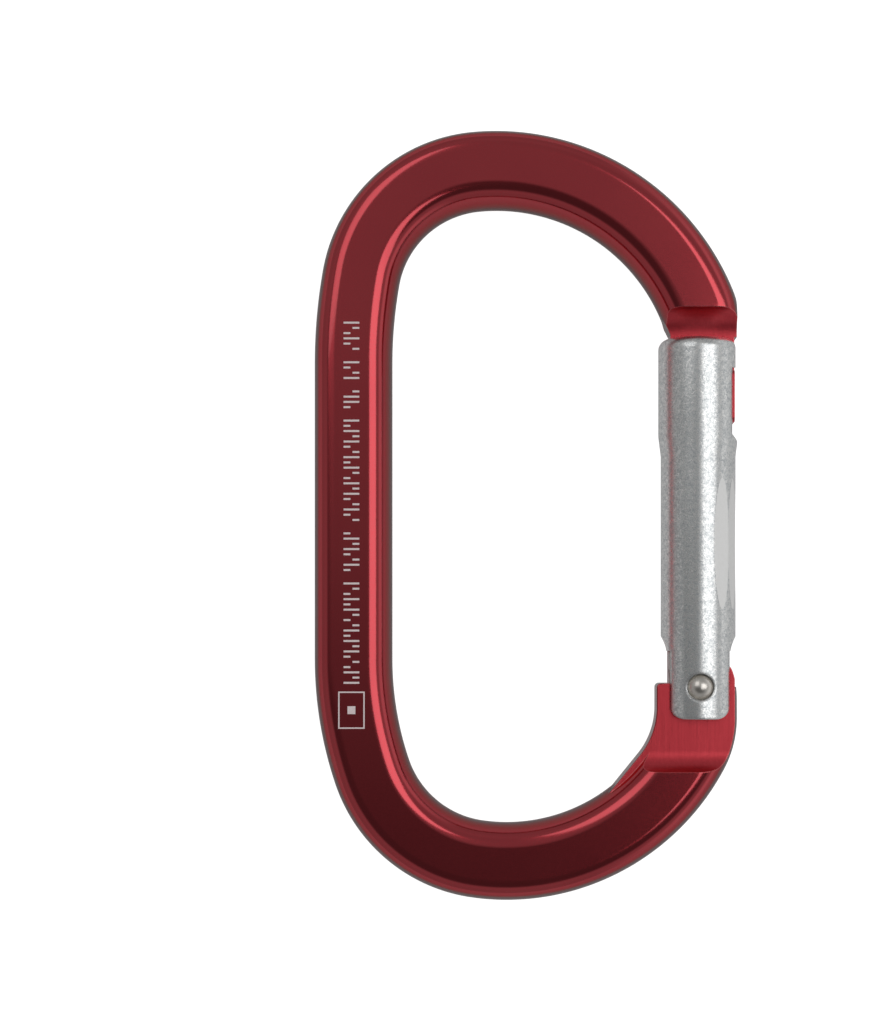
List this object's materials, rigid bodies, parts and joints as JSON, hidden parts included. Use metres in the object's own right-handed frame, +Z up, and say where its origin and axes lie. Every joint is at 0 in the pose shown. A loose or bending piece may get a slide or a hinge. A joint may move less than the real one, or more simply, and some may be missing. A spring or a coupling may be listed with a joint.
{
  "type": "carabiner",
  "caption": "Oval climbing carabiner: a forged bar body with a sprung straight key-lock gate that hinges inwards on a through rivet.",
  "frame": {"origin": "under the middle of the carabiner's outline, on the surface that it lies on", "axes": "+Y along the carabiner from the hinge end to the nose end, +X from the spine to the gate, +Z up through its thickness"},
  "size_m": [0.06, 0.109, 0.0113],
  "materials": {
    "anodised_body": "red anodised, glossy, satin where it is milled",
    "bare_aluminium": "bare, tumbled, fine-grained",
    "stainless_rivet": "polished stainless",
    "spring_steel": "drawn wire, satin"
  },
  "bodies": {
    "frame": {"carabiner_body": "anodised_body"},
    "gate": {"gate_sleeve": "bare_aluminium", "hinge_rivet": "stainless_rivet", "return_spring": "spring_steel"},
    "plunger": {"spring_plunger": "spring_steel"}
  },
  "joints": [
    {"name": "gate_hinge", "type": "hinge", "parent": "frame", "child": "gate", "pos_m": [0.02442, -0.0242, 0.00565], "axis": [0, 0, 1], "range_deg": [0, 50], "stiffness_Nm_per_rad": 0.12, "springref_deg": -51.57},
    {"name": "plunger_slide", "type": "slide", "parent": "gate", "child": "plunger", "axis": [0, 1, 0], "range_m": [0, 0.00123], "deforming": ["return_spring"]}
  ],
  "couplings": [
    {"joint": "plunger_slide", "follows": "gate_hinge", "m_per_rad": 0.0014}
  ]
}
